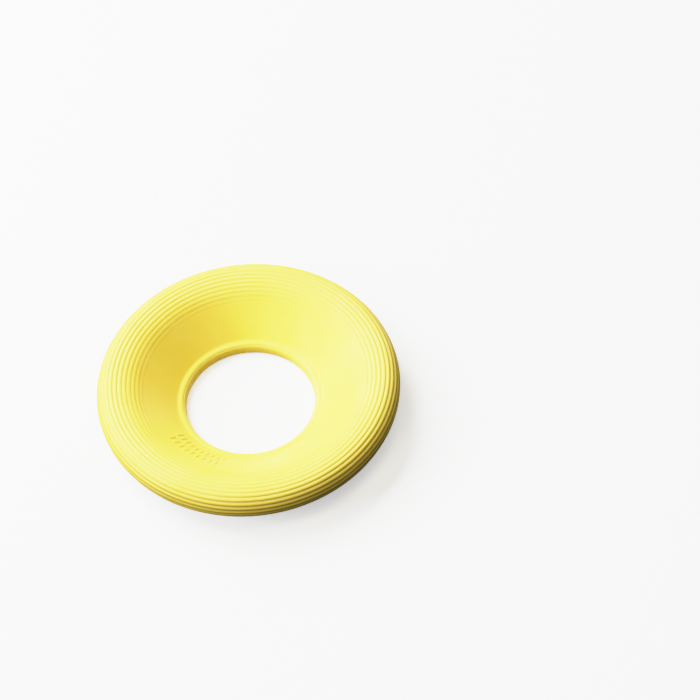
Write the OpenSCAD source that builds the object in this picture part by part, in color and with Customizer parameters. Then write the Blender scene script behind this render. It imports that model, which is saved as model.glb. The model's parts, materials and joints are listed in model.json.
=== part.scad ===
// Soft flying ring: one rubber moulding with a rolled and ribbed rim, a smooth sloping band,
// and a thick collar with a rounded lip round the hole. The underside is open, like a flying disc's.
// The section is drawn once, with X as the radius and Y as the height, and turned about Z.
// The origin is the middle of the foot plane, where the collar stands on a table.

/* [Ring] */
// Outside diameter over the ribs
ring_d = 180; // [177:1:200]
// Diameter of the hole
hole_d = 77; // [70:1:79]
// Height from the foot of the collar to the top of the rim
ring_h = 30; // [28:0.5:32]
// Thickness of the moulded wall
wall = 3.2; // [2.6:0.1:3.5]

/* [Rim] */
// Outside radius of the rolled rim
roll_r = 9.6; // [8.8:0.1:10.4]
// Radius of the broad shoulder between the roll and the band
shoulder_r = 26; // [24:0.5:27]
// How far the roll curls under, in degrees below its widest line
curl = 68; // [50:1:75]

/* [Ribs] */
// Spacing of the grooves that part the ribs, measured along the wall
rib_pitch = 2.76; // [2.6:0.02:3]
// Depth of a full groove
groove_depth = 0.45; // [0.3:0.05:0.6]
// Number of grooves
groove_count = 16; // [13:1:17]
// How many of the inner grooves grow shallower, one after the other
fading_grooves = 8; // [1:1:10]

/* [Collar] */
// Thickness of the collar round the hole
collar_w = 4.8; // [4.6:0.1:5.4]
// Height of the collar's lip above its foot
collar_h = 7.6; // [7.4:0.1:8.2]
// Radius where the lip rounds over into the hole
lip_round = 3.6; // [2.4:0.1:3.6]
// Depth of the fine groove that runs round the lip
lip_groove = 0.2; // [0.1:0.05:0.3]
// Radius of the hollow where the band runs out into the lip
hollow_r = 3; // [1.6:0.1:3]
// Radius where the foot rounds into the hole
foot_round = 2; // [1:0.1:2]

/* [Grip mark] */
// Number of raised bars in each row of the grip mark
bars = 10; // [5:1:12]
// Angle between one bar and the next
bar_step = 4.2; // [3.6:0.1:4.6]
// Direction of the middle of the mark, seen from above
mark_angle = 227; // [0:1:359]
// How far the bars stand proud of the band
bar_proud = 0.5; // [0.3:0.1:0.8]

/* [Hidden] */

rubber_yellow = "#F2E24B";
$fn = 96;
turn_fn = 240;

hole_r = hole_d / 2;
rim_x = ring_d / 2 - roll_r;
roll_z = ring_h - roll_r;
shoulder_z = ring_h - shoulder_r;

// The band is the straight line that starts at the lip, over the collar's outer wall, and just
// touches the shoulder.
foot_x = hole_r + collar_w;
foot_to_shoulder = norm([rim_x - foot_x, shoulder_z - collar_h]);
band_slope = asin(shoulder_r / foot_to_shoulder) + atan2(shoulder_z - collar_h, rim_x - foot_x);
band_length = sqrt(pow(foot_to_shoulder, 2) - pow(shoulder_r, 2));

// The lip's round-over takes no more of the collar than the hollow leaves.
hollow_reach = hollow_r * tan(band_slope / 2);
lip_r = min(lip_round, collar_w - hollow_reach);
lip_centre = [hole_r + lip_r, collar_h - lip_r];

// The outside of the wall runs from the free edge of the roll, over the top, to the band.
roll_arc = roll_r * (90 + curl) * PI / 180;
shoulder_arc = shoulder_r * band_slope * PI / 180;

// Longest straight step in a drawn arc, in degrees
arc_step = 4;
// Radius on the outer edge of the foot, and in the corner under the band
foot_edge = 1.2;
root_round = 1;

// The groove round the lip lies this many degrees above the hole's wall on the round-over.
lip_groove_angle = 52;
lip_groove_tool_r = 0.6;

// The first groove is on the underside of the roll, this far along from its free edge.
first_groove = 5.5;
groove_tool_r = 0.9;

// Each row of bars lies this far up the band's slope from its foot. The second row is staggered.
bar_rows = [7.8, 15.5];
bar_length = 5.2;
bar_w = 1.5;
bar_sink = 1;

// Point on the outside of the wall, a distance s along it from the free edge, as [x, z, normal angle]
function wall_point(s) =
    s < roll_arc ? arc_point([rim_x, roll_z], roll_r, s * 180 / PI / roll_r - curl)
    : s < roll_arc + shoulder_arc
        ? arc_point([rim_x, shoulder_z], shoulder_r, 90 + (s - roll_arc) * 180 / PI / shoulder_r)
    : band_point(band_length - (s - roll_arc - shoulder_arc));

function arc_point(centre, r, a) = [centre.x + r * cos(a), centre.y + r * sin(a), a];

// Point on the band, a distance d up its slope from its foot
function band_point(d) = [
    foot_x + d * cos(band_slope),
    collar_h + d * sin(band_slope),
    90 + band_slope
];

function groove_fade(i) = min(1, (groove_count - i) / fading_grooves);

// Points along an arc, from one angle to another, both ends included
function arc(centre, r, from, to) =
    let (steps = ceil(abs(to - from) / arc_step))
    [for (k = [0:steps]) arc_point(centre, r, from + (to - from) * k / steps)];

// One face of the wall, a given distance in from its outside, from the free edge to the band
function wall_face(inset) = concat(
    arc([rim_x, roll_z], roll_r - inset, -curl, 0),
    arc([rim_x, roll_z], roll_r - inset, 0, 90),
    arc([rim_x, shoulder_z], shoulder_r - inset, 90, 90 + band_slope)
);

function free_edge() =
    let (middle = arc_point([rim_x, roll_z], roll_r - wall / 2, -curl))
    arc(middle, wall / 2, -curl - 180, -curl);

// The hollow at the band's foot, then the round-over into the hole
function lip() = concat(
    arc([foot_x - hollow_reach, collar_h + hollow_r], hollow_r, band_slope - 90, -90),
    arc(lip_centre, lip_r, 90, 180)
);

function foot() = concat(
    arc([hole_r + foot_round, foot_round], foot_round, 180, 270),
    arc([foot_x - foot_edge, foot_edge], foot_edge, 270, 360)
);

// The corner between the collar's outer wall and the band's underside
function root() =
    let (corner_z = collar_h - wall / cos(band_slope) - root_round / tan(45 + band_slope / 2))
    arc([foot_x + root_round, corner_z], root_round, 180, 90 + band_slope);

function backwards(list) = [for (k = [len(list) - 1:-1:0]) list[k]];

function flat(points) = [for (p = points) [p.x, p.y]];

module plain_section() {
    polygon(flat(concat(free_edge(), wall_face(0), lip(), foot(), root(), backwards(wall_face(wall)))));
}

// A round tool that cuts to a depth at p, where p is [x, z, normal angle]
module groove_cut(p, depth, tool_r) {
    out = tool_r - depth;
    translate([p.x + out * cos(p.z), p.y + out * sin(p.z)]) circle(tool_r);
}

module ring_section() {
    difference() {
        plain_section();
        for (i = [0:groove_count - 1]) {
            p = wall_point(first_groove + i * rib_pitch);
            groove_cut(p, groove_depth * groove_fade(i), groove_tool_r);
        }
        groove_cut(arc_point(lip_centre, lip_r, 180 - lip_groove_angle), lip_groove, lip_groove_tool_r);
    }
}

// One raised bar with round ends, standing on the band d up its slope and turned to the angle a
module mark_bar(d, a) {
    p = band_point(d);
    rotate(a) translate([p.x, 0, p.y]) rotate([0, -band_slope, 0])
        translate([0, 0, -bar_sink]) linear_extrude(bar_sink + bar_proud) {
            square([bar_length - bar_w, bar_w], center = true);
            for (side = [-1, 1]) translate([side * (bar_length - bar_w) / 2, 0]) circle(d = bar_w, $fn = 24);
        }
}

module grip_mark() {
    for (row = [0, 1], k = [0:bars - 1 - row]) {
        mark_bar(bar_rows[row], mark_angle + (k - (bars - 1 - row) / 2) * bar_step);
    }
}

module ring_body() {
    color(rubber_yellow) {
        rotate_extrude($fn = turn_fn) ring_section();
        grip_mark();
    }
}

ring_body();
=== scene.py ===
"""The look of a soft flying ring: one yellow rubber moulding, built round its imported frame.

Every length is in metres and every angle in degrees, unless a name says otherwise.
The ring's section is drawn with the radius first and the height second, then turned about Z.
"""

import json
import math

import bpy
import numpy as np
from mathutils import Matrix, Vector


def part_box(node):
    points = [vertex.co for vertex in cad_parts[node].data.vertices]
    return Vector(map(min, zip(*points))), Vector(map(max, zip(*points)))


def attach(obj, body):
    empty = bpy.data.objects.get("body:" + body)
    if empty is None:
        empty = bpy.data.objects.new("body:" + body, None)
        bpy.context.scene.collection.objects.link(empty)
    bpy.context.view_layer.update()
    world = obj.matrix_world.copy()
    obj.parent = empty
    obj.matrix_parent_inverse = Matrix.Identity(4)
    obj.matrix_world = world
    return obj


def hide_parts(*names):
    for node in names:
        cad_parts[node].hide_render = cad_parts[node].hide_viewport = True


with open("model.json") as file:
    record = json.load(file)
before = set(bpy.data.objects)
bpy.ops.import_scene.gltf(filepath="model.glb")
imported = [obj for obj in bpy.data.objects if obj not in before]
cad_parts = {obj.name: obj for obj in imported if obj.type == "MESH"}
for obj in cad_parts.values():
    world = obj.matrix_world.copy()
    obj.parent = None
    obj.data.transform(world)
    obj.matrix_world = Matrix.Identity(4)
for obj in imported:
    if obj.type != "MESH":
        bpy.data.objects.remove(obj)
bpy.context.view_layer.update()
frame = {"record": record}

# --- Sizes ---------------------------------------------------------------------------------------
NODE = "ring_body"

_, body_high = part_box(NODE)
HOLE_R = frame["record"]["mounts"][0]["dims"]["r_mm"] / 1000
RING_R = body_high.x
RING_H = body_high.z

WALL = 0.0032
ROLL_R = 0.0096
SHOULDER_R = 0.026
# How far the roll curls under, below its widest line
CURL = 68

# The grooves are counted along the wall from the roll's free edge. The last ones fade out.
RIB_PITCH = 0.00276
FIRST_GROOVE = 0.0055
GROOVES = 16
FADING_GROOVES = 8
GROOVE_DEPTH = 0.00045
# How blunt the bottom of a groove is, as a share of half a rib
VALLEY_SOFTNESS = 0.14

# Where the painted shade of the lower rim, and the wear and painted sheen of the rim's top, lie along
# the same line
LOWER_SHADE_FULL_TO = 0.013
LOWER_SHADE_GONE_FROM = 0.022
WORN_SHEEN_MIDDLE = 0.029
WORN_SHEEN_REACH = 0.013

# The collar round the hole: its lip rounds over into the hole, and its foot stands on the floor
COLLAR_W = 0.0048
COLLAR_H = 0.0076
LIP_ROUND = 0.0036
FOOT_ROUND = 0.002
FOOT_EDGE = 0.0012
# The hollow where the band runs out into the lip, and the corner under the band
HOLLOW_R = 0.003
ROOT_ROUND = 0.001
# The fine groove on the lip's round-over: its depth, its place, half its width, and how much of a groove
# it is to the material, which paints shade into grooves and makes them rougher
LIP_GROOVE = 0.0002
LIP_GROOVE_ANGLE = 128
LIP_GROOVE_SPREAD = 9
LIP_GROOVE_MARK = 0.5
# The mould's parting line, on the wall of the hole
PARTING_Z = 0.003
PARTING_H = 0.00008
PARTING_HALF_W = 0.0003

# The grip mark's raised bars, in rows that lie this far up the band
BARS = 10
BAR_STEP = 4.2
MARK_ANGLE = 227
BAR_ROWS = (0.0078, 0.0155)
BAR_LENGTH = 0.0052
BAR_W = 0.0015
BAR_PROUD = 0.00038
BAR_SINK = 0.0008
# The share of a bar's height that flares out into the band
BAR_FLARE = 0.4

# How finely the section is drawn, and how many steps it is turned in
POINTS_PER_RIB = 12
TURNS = 240

# --- Where the arcs and lines of the section meet ------------------------------------------------
ROLL_CENTRE = Vector((RING_R - ROLL_R, RING_H - ROLL_R))
SHOULDER_CENTRE = Vector((RING_R - ROLL_R, RING_H - SHOULDER_R))
BAND_FOOT = Vector((HOLE_R + COLLAR_W, COLLAR_H))

to_shoulder = SHOULDER_CENTRE - BAND_FOOT
slope_to_centre = math.atan2(to_shoulder.y, to_shoulder.x)
SLOPE = math.degrees(slope_to_centre + math.asin(SHOULDER_R / to_shoulder.length))
BAND_LENGTH = math.sqrt(to_shoulder.length_squared - SHOULDER_R**2)
ROLL_ARC = ROLL_R * math.radians(90 + CURL)
SHOULDER_ARC = SHOULDER_R * math.radians(SLOPE)
HOLLOW_REACH = HOLLOW_R * math.tan(math.radians(SLOPE) / 2)


def polar(angle, length=1.0):
    """The vector of that length at an angle above the radius direction."""
    return Vector((math.cos(math.radians(angle)), math.sin(math.radians(angle)))) * length


UP_BAND = polar(SLOPE)


# --- The section ---------------------------------------------------------------------------------
def arc(centre, radius, start, end, count):
    """Points along an arc, both ends included."""
    return [centre + polar(a, radius) for a in np.linspace(start, end, count)]


def wall_point(s):
    """The point and the normal's angle on the plain outside, at s along it from the roll's free edge."""
    if s < ROLL_ARC:
        angle = math.degrees(s / ROLL_R) - CURL
        return ROLL_CENTRE + polar(angle, ROLL_R), angle
    if s < ROLL_ARC + SHOULDER_ARC:
        angle = 90 + math.degrees((s - ROLL_ARC) / SHOULDER_R)
        return SHOULDER_CENTRE + polar(angle, SHOULDER_R), angle
    return BAND_FOOT + UP_BAND * (ROLL_ARC + SHOULDER_ARC + BAND_LENGTH - s), SLOPE + 90


def groove_share(s):
    """How much of a full groove is cut at s: 1 at the bottom of a full groove, 0 on a rib's crest."""
    nearest = min(max(round((s - FIRST_GROOVE) / RIB_PITCH), 0), GROOVES - 1)
    away = abs(s - FIRST_GROOVE - nearest * RIB_PITCH) / (RIB_PITCH / 2)
    rounded = min(1.0, math.hypot(away, VALLEY_SOFTNESS))
    fade = min(1.0, (GROOVES - nearest) / FADING_GROOVES)
    return fade * (1 - rounded) ** 2 / (1 - VALLEY_SOFTNESS) ** 2


def surface_marks(s):
    """The material's marks at s: in a groove, on the lower rim that is painted darker as shade, and on
    the worn top of the rim that is painted paler as a sheen.
    """
    # The lower rim is marked to be painted darker, as shade. The top of the rim is marked to be painted
    # paler, as a sheen, and to be glossier, as wear.
    lower_rim_shade = (LOWER_SHADE_GONE_FROM - s) / (LOWER_SHADE_GONE_FROM - LOWER_SHADE_FULL_TO)
    worn_and_sheen = 1 - abs(s - WORN_SHEEN_MIDDLE) / WORN_SHEEN_REACH
    return groove_share(s), min(max(lower_rim_shade, 0.0), 1.0), max(worn_and_sheen, 0.0)


def ribbed_outside():
    """The outside from the roll's free edge to the hollow, as (point, surface marks) pairs."""
    last_rib = FIRST_GROOVE + GROOVES * RIB_PITCH
    end = ROLL_ARC + SHOULDER_ARC + BAND_LENGTH - HOLLOW_REACH
    step = RIB_PITCH / POINTS_PER_RIB
    stops = [*np.arange(0, last_rib, step), *np.linspace(last_rib, end, 9)]
    pairs = []
    for s in stops:
        point, angle = wall_point(s)
        marks = surface_marks(s)
        pairs.append((point - polar(angle, marks[0] * GROOVE_DEPTH), marks))
    return pairs


def lip():
    """The hollow, then the round-over with its fine groove, as (point, surface marks) pairs."""
    hollow = arc(BAND_FOOT + Vector((-HOLLOW_REACH, HOLLOW_R)), HOLLOW_R, SLOPE - 90, -90, 9)[1:]
    # The last mark rises through the hollow to the top of the lip, so that a pale highlight is painted
    # along the lip.
    pairs = [(point, (0.0, 0.0, k / len(hollow))) for k, point in enumerate(hollow)]
    centre = Vector((HOLE_R + LIP_ROUND, COLLAR_H - LIP_ROUND))
    for angle in np.linspace(90, 180, 46):
        away = min(1.0, abs(angle - LIP_GROOVE_ANGLE) / LIP_GROOVE_SPREAD)
        share = (1 + math.cos(math.pi * away)) / 2
        # The fine groove is given up to half of a groove's painted shade.
        marks = (share * LIP_GROOVE_MARK, 0.0, math.sin(math.radians(angle)))
        pairs.append((centre + polar(angle, LIP_ROUND - share * LIP_GROOVE), marks))
    return pairs


def collar_outline():
    """The hole's straight wall with its parting line, and the foot."""
    outer_x = HOLE_R + COLLAR_W
    points = []
    for along, height in ((1, 0), (1 / 3, 0.5), (0, 1), (-1 / 3, 0.5), (-1, 0)):
        points.append(Vector((HOLE_R - height * PARTING_H, PARTING_Z + along * PARTING_HALF_W)))
    points += arc(Vector((HOLE_R + FOOT_ROUND, FOOT_ROUND)), FOOT_ROUND, 180, 270, 10)
    points += arc(Vector((outer_x - FOOT_EDGE, FOOT_EDGE)), FOOT_EDGE, 270, 360, 6)
    return points


def inside_outline():
    """The underside, from the collar's outer wall round the inside of the roll to its free edge."""
    foot = BAND_FOOT - Vector((0, WALL / UP_BAND.x))
    tangent = ROOT_ROUND / math.tan(math.radians(90 + SLOPE) / 2)
    points = arc(foot + Vector((ROOT_ROUND, -tangent)), ROOT_ROUND, 180, 90 + SLOPE, 6)
    points += [foot + UP_BAND * d for d in np.linspace(tangent, BAND_LENGTH, 8)[1:-1]]
    points += arc(SHOULDER_CENTRE, SHOULDER_R - WALL, 90 + SLOPE, 90, 12)
    points += arc(ROLL_CENTRE, ROLL_R - WALL, 90, -CURL, 30)[1:]
    edge_centre = ROLL_CENTRE + polar(-CURL, ROLL_R - WALL / 2)
    points += arc(edge_centre, WALL / 2, 180 - CURL, 360 - CURL, 10)[1:-1]
    return points


def section():
    """The closed outline of the moulding, and each point's surface marks."""
    outside = ribbed_outside() + lip()
    plain = collar_outline() + inside_outline()
    outline = [p for p, _ in outside] + plain
    marks = [m for _, m in outside] + [(0.0, 0.0, 0.0)] * len(plain)
    return np.array(outline), np.array(marks)


# --- Meshes --------------------------------------------------------------------------------------
MARKS = ("groove", "lower_rim_shade", "worn_and_sheen")


def new_piece(name, vertices, faces, marks, material):
    """A smooth-shaded piece, with one number for each vertex in each of the named marks."""
    mesh = bpy.data.meshes.new(name)
    mesh.from_pydata(vertices, [], faces)
    mesh.polygons.foreach_set("use_smooth", [True] * len(mesh.polygons))
    for mark, values in zip(MARKS, marks.T):
        mesh.attributes.new(mark, "FLOAT", "POINT").data.foreach_set("value", values)
    mesh.validate()
    mesh.materials.append(material)
    piece = bpy.data.objects.new(name, mesh)
    bpy.context.scene.collection.objects.link(piece)
    return piece


def turned(outline, marks, material):
    """The section turned about Z into one closed mesh."""
    count = len(outline)
    angles = np.arange(TURNS) * 2 * math.pi / TURNS
    radius, height = outline[:, 0], outline[:, 1]
    vertices = np.stack(
        [
            np.outer(np.cos(angles), radius),
            np.outer(np.sin(angles), radius),
            np.tile(height, (TURNS, 1)),
        ],
        axis=-1,
    ).reshape(-1, 3)
    faces = []
    for turn in range(TURNS):
        here, there = turn * count, (turn + 1) % TURNS * count
        for i in range(count):
            j = (i + 1) % count
            faces.append((here + i, there + i, there + j, here + j))
    return new_piece("ring_moulding", vertices.tolist(), faces, np.tile(marks, (TURNS, 1)), material)


def bar_layers():
    """A bar's layers from its sunk bottom to its top, as (offset out from its outline, height) pairs."""
    flare = BAR_PROUD * BAR_FLARE
    top_round = BAR_PROUD - flare
    layers = [(flare, -BAR_SINK), (flare, 0.0)]
    for a in np.linspace(0, 90, 4)[1:]:
        turn = polar(a, flare)
        layers.append((flare - turn.y, flare - turn.x))
    for a in np.linspace(0, 90, 5)[1:]:
        turn = polar(a, top_round)
        layers.append((turn.x - top_round, flare + turn.y))
    return layers


def bar_outline(offset):
    """The stadium outline of a bar, moved out by offset, in the band's own plane."""
    points = []
    for side in (1, -1):
        for a in np.linspace(-90, 90, 8):
            tip = polar(a if side > 0 else a + 180, BAR_W / 2 + offset)
            points.append((side * (BAR_LENGTH - BAR_W) / 2 + tip.x, tip.y))
    return points


def bar_mesh(distance, angle):
    """Vertices and faces of one raised bar, a distance up the band and at an angle round the ring."""
    foot = BAND_FOOT + UP_BAND * distance
    place = Matrix.Rotation(math.radians(angle), 4, "Z") @ Matrix.Translation((foot.x, 0, foot.y))
    place = place @ Matrix.Rotation(math.radians(-SLOPE), 4, "Y")
    vertices, faces = [], []
    for offset, height in bar_layers():
        vertices += [place @ Vector((x, y, height)) for x, y in bar_outline(offset)]
    row = len(bar_outline(0))
    for here in range(0, len(vertices) - row, row):
        there = here + row
        for i in range(row):
            j = (i + 1) % row
            faces.append((here + i, here + j, there + j, there + i))
    faces.append(tuple(reversed(range(row))))
    faces.append(tuple(range(len(vertices) - row, len(vertices))))
    return vertices, faces


def grip_mark(material):
    """Two rows of raised bars on the band, the second row staggered."""
    vertices, faces = [], []
    for row, distance in enumerate(BAR_ROWS):
        in_row = BARS - row
        for k in range(in_row):
            angle = MARK_ANGLE + (k - (in_row - 1) / 2) * BAR_STEP
            bar_vertices, bar_faces = bar_mesh(distance, angle)
            start = len(vertices)
            vertices += bar_vertices
            faces += [tuple(start + i for i in face) for face in bar_faces]
    return new_piece("grip_mark", vertices, faces, np.zeros((len(vertices), len(MARKS))), material)


# --- Materials -----------------------------------------------------------------------------------
class Nodes:
    """Short calls for building one material's node tree."""

    def __init__(self, name):
        self.material = bpy.data.materials.new(name)
        self.material.use_nodes = True
        self.tree = self.material.node_tree
        self.shader = self.tree.nodes["Principled BSDF"]
        self.place = self.add("ShaderNodeTexCoord").outputs["Object"]

    def add(self, kind, **settings):
        node = self.tree.nodes.new(kind)
        for key, value in settings.items():
            setattr(node, key, value)
        return node

    def link(self, source, socket):
        self.tree.links.new(source, socket)

    def noise(self, size, detail=3.0, roughness=0.5):
        """Noise whose features are about that many metres across, from 0 to 1."""
        node = self.add("ShaderNodeTexNoise")
        node.inputs["Scale"].default_value = 1 / size
        node.inputs["Detail"].default_value = detail
        node.inputs["Roughness"].default_value = roughness
        self.link(self.place, node.inputs["Vector"])
        return node.outputs["Fac"]

    def attribute(self, name):
        return self.add("ShaderNodeAttribute", attribute_name=name).outputs["Fac"]

    def span(self, value, low, high, to_low=0.0, to_high=1.0):
        """value taken from low..high to to_low..to_high, and held at the ends."""
        node = self.add("ShaderNodeMapRange", interpolation_type="SMOOTHSTEP")
        ends = {"From Min": low, "From Max": high, "To Min": to_low, "To Max": to_high}
        for name, number in ends.items():
            node.inputs[name].default_value = number
        self.link(value, node.inputs["Value"])
        return node.outputs["Result"]

    def maths(self, operation, a, b):
        node = self.add("ShaderNodeMath", operation=operation)
        for socket, value in zip(node.inputs, (a, b)):
            if isinstance(value, (int, float)):
                socket.default_value = value
            else:
                self.link(value, socket)
        return node.outputs["Value"]

    def mix(self, amount, a, b):
        """Colour a where amount is 0 and colour b where it is 1."""
        node = self.add("ShaderNodeMix", data_type="RGBA")
        self.link(amount, node.inputs["Factor"])
        # Sockets 6 and 7, and output 2, are the ones for colours. All the A sockets share one name.
        for socket, value in ((node.inputs[6], a), (node.inputs[7], b)):
            if isinstance(value, tuple):
                socket.default_value = (*value, 1)
            else:
                self.link(value, socket)
        return node.outputs[2]

    def bump(self, height, distance, below=None):
        node = self.add("ShaderNodeBump")
        node.inputs["Distance"].default_value = distance
        self.link(height, node.inputs["Height"])
        if below is not None:
            self.link(below, node.inputs["Normal"])
        return node.outputs["Normal"]


DEEP_YELLOW = (0.88, 0.645, 0.07)
CLEAR_YELLOW = (0.91, 0.68, 0.084)
# Random paler patches, and also the sheen painted on the worn top of the rim and on the lip
PALE_BLOOM_AND_SHEEN = (0.93, 0.82, 0.23)
# Painted shade in the grooves
GROOVE_PAINTED_SHADE = (0.6, 0.45, 0.12)
# Painted shade on the lower rim, darkest in its grooves
BROWN_PAINTED_SHADE = (0.28, 0.2, 0.03)
DARK_GRIME = (0.25, 0.17, 0.05)


def rubber():
    """Satin yellow rubber: clouded; paler on the worn top of the rim and on the lip, where a sheen is
    painted; darker in the grooves and on the lower rim, where shade is painted; and a little grimy in
    the grooves.
    """
    n = Nodes("yellow_rubber")
    groove, lower_rim_shade, worn_and_sheen = (n.attribute(mark) for mark in MARKS)

    cloud = n.span(n.noise(0.06, detail=2), 0.3, 0.7)
    colour = n.mix(cloud, DEEP_YELLOW, CLEAR_YELLOW)
    patchy = n.span(n.noise(0.018, detail=5), 0.35, 0.75)
    # Painted sheen: the worn top of the rim and the top of the lip are painted paler.
    sheen_and_wear = n.span(worn_and_sheen, 0.1, 0.8)
    bloom_and_sheen = n.maths("ADD", n.maths("MULTIPLY", patchy, 0.12), n.maths("MULTIPLY", sheen_and_wear, 0.13))
    colour = n.mix(bloom_and_sheen, colour, PALE_BLOOM_AND_SHEEN)

    # Painted shade: the grooves are painted darker.
    colour = n.mix(n.maths("MULTIPLY", groove, 0.75), colour, GROOVE_PAINTED_SHADE)
    # Painted shade: the lower rim is painted darker, most of all in its grooves.
    in_lower_shade = n.maths("MULTIPLY", lower_rim_shade, n.maths("ADD", n.maths("MULTIPLY", groove, 0.6), 0.05))
    colour = n.mix(in_lower_shade, colour, BROWN_PAINTED_SHADE)
    specks = n.span(n.noise(0.0022, detail=2), 0.66, 0.76)
    grime = n.maths("MULTIPLY", specks, n.maths("MULTIPLY", groove, 0.25))
    colour = n.mix(grime, colour, DARK_GRIME)
    n.link(colour, n.shader.inputs["Base Color"])

    smears = n.span(n.noise(0.012, detail=5, roughness=0.6), 0.3, 0.7, 0.40, 0.50)
    roughness = n.maths("ADD", smears, n.maths("MULTIPLY", groove, 0.08))
    crests = n.maths("MULTIPLY", sheen_and_wear, n.maths("SUBTRACT", 1, groove))
    roughness = n.maths("SUBTRACT", roughness, n.maths("MULTIPLY", crests, 0.08))
    n.link(roughness, n.shader.inputs["Roughness"])

    soft = n.bump(n.noise(0.02, detail=1), 0.00035)
    grain = n.bump(n.noise(0.0006, detail=2), 0.00003, below=soft)
    n.link(grain, n.shader.inputs["Normal"])

    n.shader.inputs["Specular IOR Level"].default_value = 0.26
    n.shader.inputs["Subsurface Weight"].default_value = 0.12
    n.shader.inputs["Subsurface Radius"].default_value = (1.0, 0.6, 0.15)
    n.shader.inputs["Subsurface Scale"].default_value = 0.0015
    return n.material


def studio_paper():
    """Matt pale paper with the faintest unevenness."""
    n = Nodes("studio_paper")
    colour = n.mix(n.noise(0.4, detail=2), (0.88, 0.88, 0.88), (0.9, 0.9, 0.9))
    n.link(colour, n.shader.inputs["Base Color"])
    n.link(colour, n.shader.inputs["Emission Color"])
    n.shader.inputs["Emission Strength"].default_value = 0.5
    n.link(n.span(n.noise(0.05), 0.3, 0.7, 0.85, 0.95), n.shader.inputs["Roughness"])
    return n.material


# --- Studio --------------------------------------------------------------------------------------
# Out to here the floor isn't mirrored in the ring
NEAR_FLOOR_R = 1.0
# Where the flat floor ends, how it curves up, and how high the wall is
FLOOR_R = 3.0
COVE_R = 1.2
COVE_TOP = 3.0
STAGE_SIDES = 96


def stage_piece(name, vertices, faces, material):
    """A piece of the floor or the wall. It lends the ring no colour of its own."""
    piece = new_piece(name, vertices, faces, np.zeros((len(vertices), len(MARKS))), material)
    piece.visible_diffuse = False
    return piece


def round_row(radius, height):
    """One level circle of the stage's vertices."""
    angles = np.arange(STAGE_SIDES) * 2 * math.pi / STAGE_SIDES
    return [(radius * math.cos(a), radius * math.sin(a), height) for a in angles]


def spun(name, outline, material):
    """An outline of (radius, height) points turned about Z into a piece of the stage."""
    vertices = []
    for radius, height in outline:
        vertices += round_row(radius, height)
    faces = []
    for here in range(0, len(vertices) - STAGE_SIDES, STAGE_SIDES):
        there = here + STAGE_SIDES
        for k in range(STAGE_SIDES):
            j = (k + 1) % STAGE_SIDES
            faces.append((here + k, there + k, there + j, here + j))
    return stage_piece(name, vertices, faces, material)


def floor_and_wall(material):
    """A round floor whose edge curves up into a wall, the same from every side.

    The floor round the ring isn't mirrored in it, so that the ring's lower edge stays dark. The seam
    with the middle of the floor is hidden under the collar's foot.
    """
    seam = HOLE_R + COLLAR_W / 2
    stage_piece("middle_floor", round_row(seam, 0), [tuple(range(STAGE_SIDES))], material)
    near_floor = spun("near_floor", [(seam, 0), (NEAR_FLOOR_R, 0)], material)
    near_floor.visible_glossy = False
    curve = arc(Vector((FLOOR_R, COVE_R)), COVE_R, -90, 0, 16)
    spun("studio_cove", [(NEAR_FLOOR_R, 0), *curve, (FLOOR_R + COVE_R, COVE_TOP)], material)


WHITE_LIGHT = (1, 1, 1)
COOL_LIGHT = (0.92, 0.95, 1)
WARM_LIGHT = (1, 0.9, 0.6)


def soft_light(name, azimuth, elevation, size, watts, colour=WHITE_LIGHT, distance=1.5):
    """A square softbox that faces the ring from that direction. Azimuth 0 is +X and 90 is +Y."""
    lamp = bpy.data.lights.new(name, "AREA")
    lamp.shape = "SQUARE"
    lamp.size = size
    lamp.energy = watts
    lamp.color = colour
    light = bpy.data.objects.new(name, lamp)
    a, e = math.radians(azimuth), math.radians(elevation)
    direction = Vector((math.cos(e) * math.cos(a), math.cos(e) * math.sin(a), math.sin(e)))
    light.location = direction * distance
    light.rotation_euler = direction.to_track_quat("Z", "Y").to_euler()
    bpy.context.scene.collection.objects.link(light)


def soft_shoulder(view):
    """Highlights roll off gently, as in a photograph, instead of clipping."""
    view.view_transform = "Standard"
    view.use_curve_mapping = True
    brightest = 4.0
    view.curve_mapping.white_level = (brightest,) * 3
    curve = view.curve_mapping.curves[3]
    for light_in, light_out in ((0.7, 0.7), (1.0, 0.855), (1.6, 0.92), (2.4, 0.95)):
        curve.points.new(light_in / brightest, light_out)
    for point in curve.points:
        point.handle_type = "AUTO_CLAMPED"
    view.curve_mapping.update()


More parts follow.
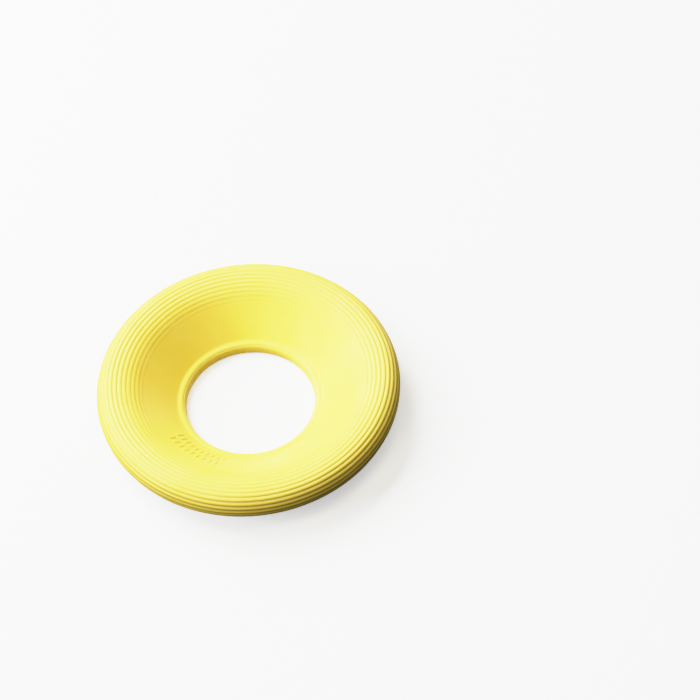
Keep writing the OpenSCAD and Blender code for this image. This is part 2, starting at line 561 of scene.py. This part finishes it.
def studio_lights():
    """A large key light behind and to the left, four small ones that fill, and a faint sky."""
    soft_light("key_light", azimuth=136, elevation=42, size=1.3, watts=54)
    soft_light("left_light", azimuth=188, elevation=25, size=0.7, watts=16)
    soft_light("back_light", azimuth=50, elevation=15, size=0.5, watts=6, distance=1.6)
    soft_light("front_light", azimuth=233, elevation=46, size=0.5, watts=4.3, colour=COOL_LIGHT)
    soft_light("top_light", azimuth=300, elevation=80, size=0.5, watts=4.6, colour=WARM_LIGHT)
    world = bpy.data.worlds.new("studio_air")
    world.use_nodes = True
    sky = world.node_tree.nodes["Background"]
    sky.inputs["Color"].default_value = (0.95, 0.97, 1.0, 1)
    sky.inputs["Strength"].default_value = 0.05
    bpy.context.scene.world = world
    soft_shoulder(bpy.context.scene.view_settings)


# --- Camera --------------------------------------------------------------------------------------
CAMERA_ELEVATION = 53.5
CAMERA_ROLL = -7.6
CAMERA_DISTANCE = 1.2
SENSOR_MM = 36.0
# How wide the picture is at the ring's distance
FRAME_WIDTH_THERE = 0.4125
# The point on the ring's axis that is placed in the picture, and how far it lies from the picture's
# middle as a share of the picture's width
AIM_HEIGHT = 0.0295
RING_LEFT_OF_CENTRE = 0.147
RING_BELOW_CENTRE = 0.0373


def photo_camera():
    """Looks down at the ring from the front, with the ring left of and below the picture's middle."""
    e = math.radians(CAMERA_ELEVATION)
    back = Vector((0, -math.cos(e), math.sin(e)))
    level_right = Vector((1, 0, 0))
    roll = Matrix.Rotation(math.radians(CAMERA_ROLL), 3, back)
    right = roll @ level_right
    up = roll @ back.cross(level_right)
    basis = Matrix((right, up, back)).transposed()

    lens_mm = SENSOR_MM * CAMERA_DISTANCE / FRAME_WIDTH_THERE
    across = SENSOR_MM / lens_mm
    seen_at = Vector((-RING_LEFT_OF_CENTRE * across, -RING_BELOW_CENTRE * across, -1))
    turn = Vector((0, 0, -1)).rotation_difference(seen_at).to_matrix()

    data = bpy.data.cameras.new("photo_camera")
    data.sensor_width = SENSOR_MM
    data.lens = lens_mm
    data.clip_start = 0.05
    data.clip_end = 20
    camera = bpy.data.objects.new("photo_camera", data)
    camera.matrix_world = (
        Matrix.Translation(Vector((0, 0, AIM_HEIGHT)) + back * CAMERA_DISTANCE)
        @ (basis @ turn.inverted()).to_4x4()
    )
    bpy.context.scene.collection.objects.link(camera)
    bpy.context.scene.camera = camera


# --- Assembly ------------------------------------------------------------------------------------
def build():
    material = rubber()
    ring = turned(*section(), material)
    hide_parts(NODE)
    for piece in (ring, grip_mark(material)):
        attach(piece, "root")
    floor_and_wall(studio_paper())
    studio_lights()
    photo_camera()


build()
